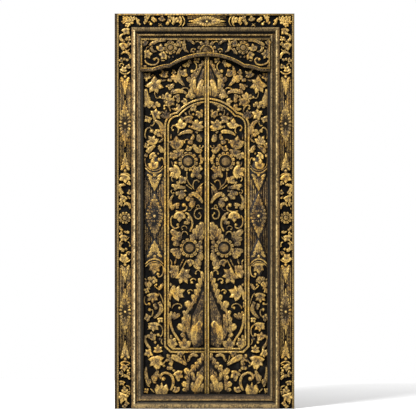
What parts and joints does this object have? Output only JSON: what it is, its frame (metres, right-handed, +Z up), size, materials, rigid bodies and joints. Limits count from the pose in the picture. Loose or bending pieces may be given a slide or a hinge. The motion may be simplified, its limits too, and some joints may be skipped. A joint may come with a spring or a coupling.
{
  "type": "carved temple door",
  "caption": "Double-leaf carved wooden temple door in its moulded frame, with a scalloped header board, gilt foliage carving over dark ground and a wooden bolt behind.",
  "frame": {"origin": "on the floor, at the middle of the frame's width and depth", "axes": "+Z up, the carved front faces -Y, +X to the right seen from the front; the leaves swing inwards to +Y"},
  "size_m": [1, 0.122, 2.2],
  "materials": {
    "carved_gilt_wood": "worn gold paint on the raised carving, near-black ground",
    "moulding_gilt_wood": "worn gold paint over dark brown",
    "frame_wood": "dark weathered hardwood",
    "batten_wood": "oiled hardwood",
    "bolt_wood": "rubbed hardwood",
    "peg_wood": "bare hardwood end grain"
  },
  "bodies": {
    "frame": {"sill": "frame_wood", "lintel": "frame_wood", "jamb_left": "frame_wood", "jamb_right": "frame_wood", "band_left": "carved_gilt_wood", "band_right": "carved_gilt_wood", "band_top": "carved_gilt_wood", "moulding_left": "moulding_gilt_wood", "moulding_right": "moulding_gilt_wood", "moulding_top": "moulding_gilt_wood", "moulding_bottom": "moulding_gilt_wood", "header_panel": "carved_gilt_wood", "frame_pegs": "peg_wood", "band_dowels": "peg_wood", "moulding_dowels": "peg_wood", "header_dowels": "peg_wood"},
    "leaf_left": {"leaf_left": "carved_gilt_wood", "batten_left_lower": "batten_wood", "batten_left_middle": "batten_wood", "batten_left_upper": "batten_wood", "bolt_guide_outer": "bolt_wood", "bolt_guide_inner": "bolt_wood", "guide_pegs": "peg_wood"},
    "leaf_right": {"leaf_right": "carved_gilt_wood", "batten_right_lower": "batten_wood", "batten_right_middle": "batten_wood", "batten_right_upper": "batten_wood", "bolt_keeper": "bolt_wood", "keeper_pegs": "peg_wood"},
    "bolt": {"bolt_bar": "bolt_wood", "bolt_finger_peg": "peg_wood"}
  },
  "joints": [
    {"name": "leaf_left_swing", "type": "hinge", "parent": "frame", "child": "leaf_left", "pos_m": [-0.334, -0.001, 0.0655], "axis": [0, 0, 1], "range_deg": [0, 90]},
    {"name": "leaf_right_swing", "type": "hinge", "parent": "frame", "child": "leaf_right", "pos_m": [0.344, -0.001, 0.0655], "axis": [0, 0, -1], "range_deg": [0, 90]},
    {"name": "bolt_slide", "type": "slide", "parent": "leaf_left", "child": "bolt", "axis": [1, 0, 0], "range_m": [0, 0.06]}
  ]
}
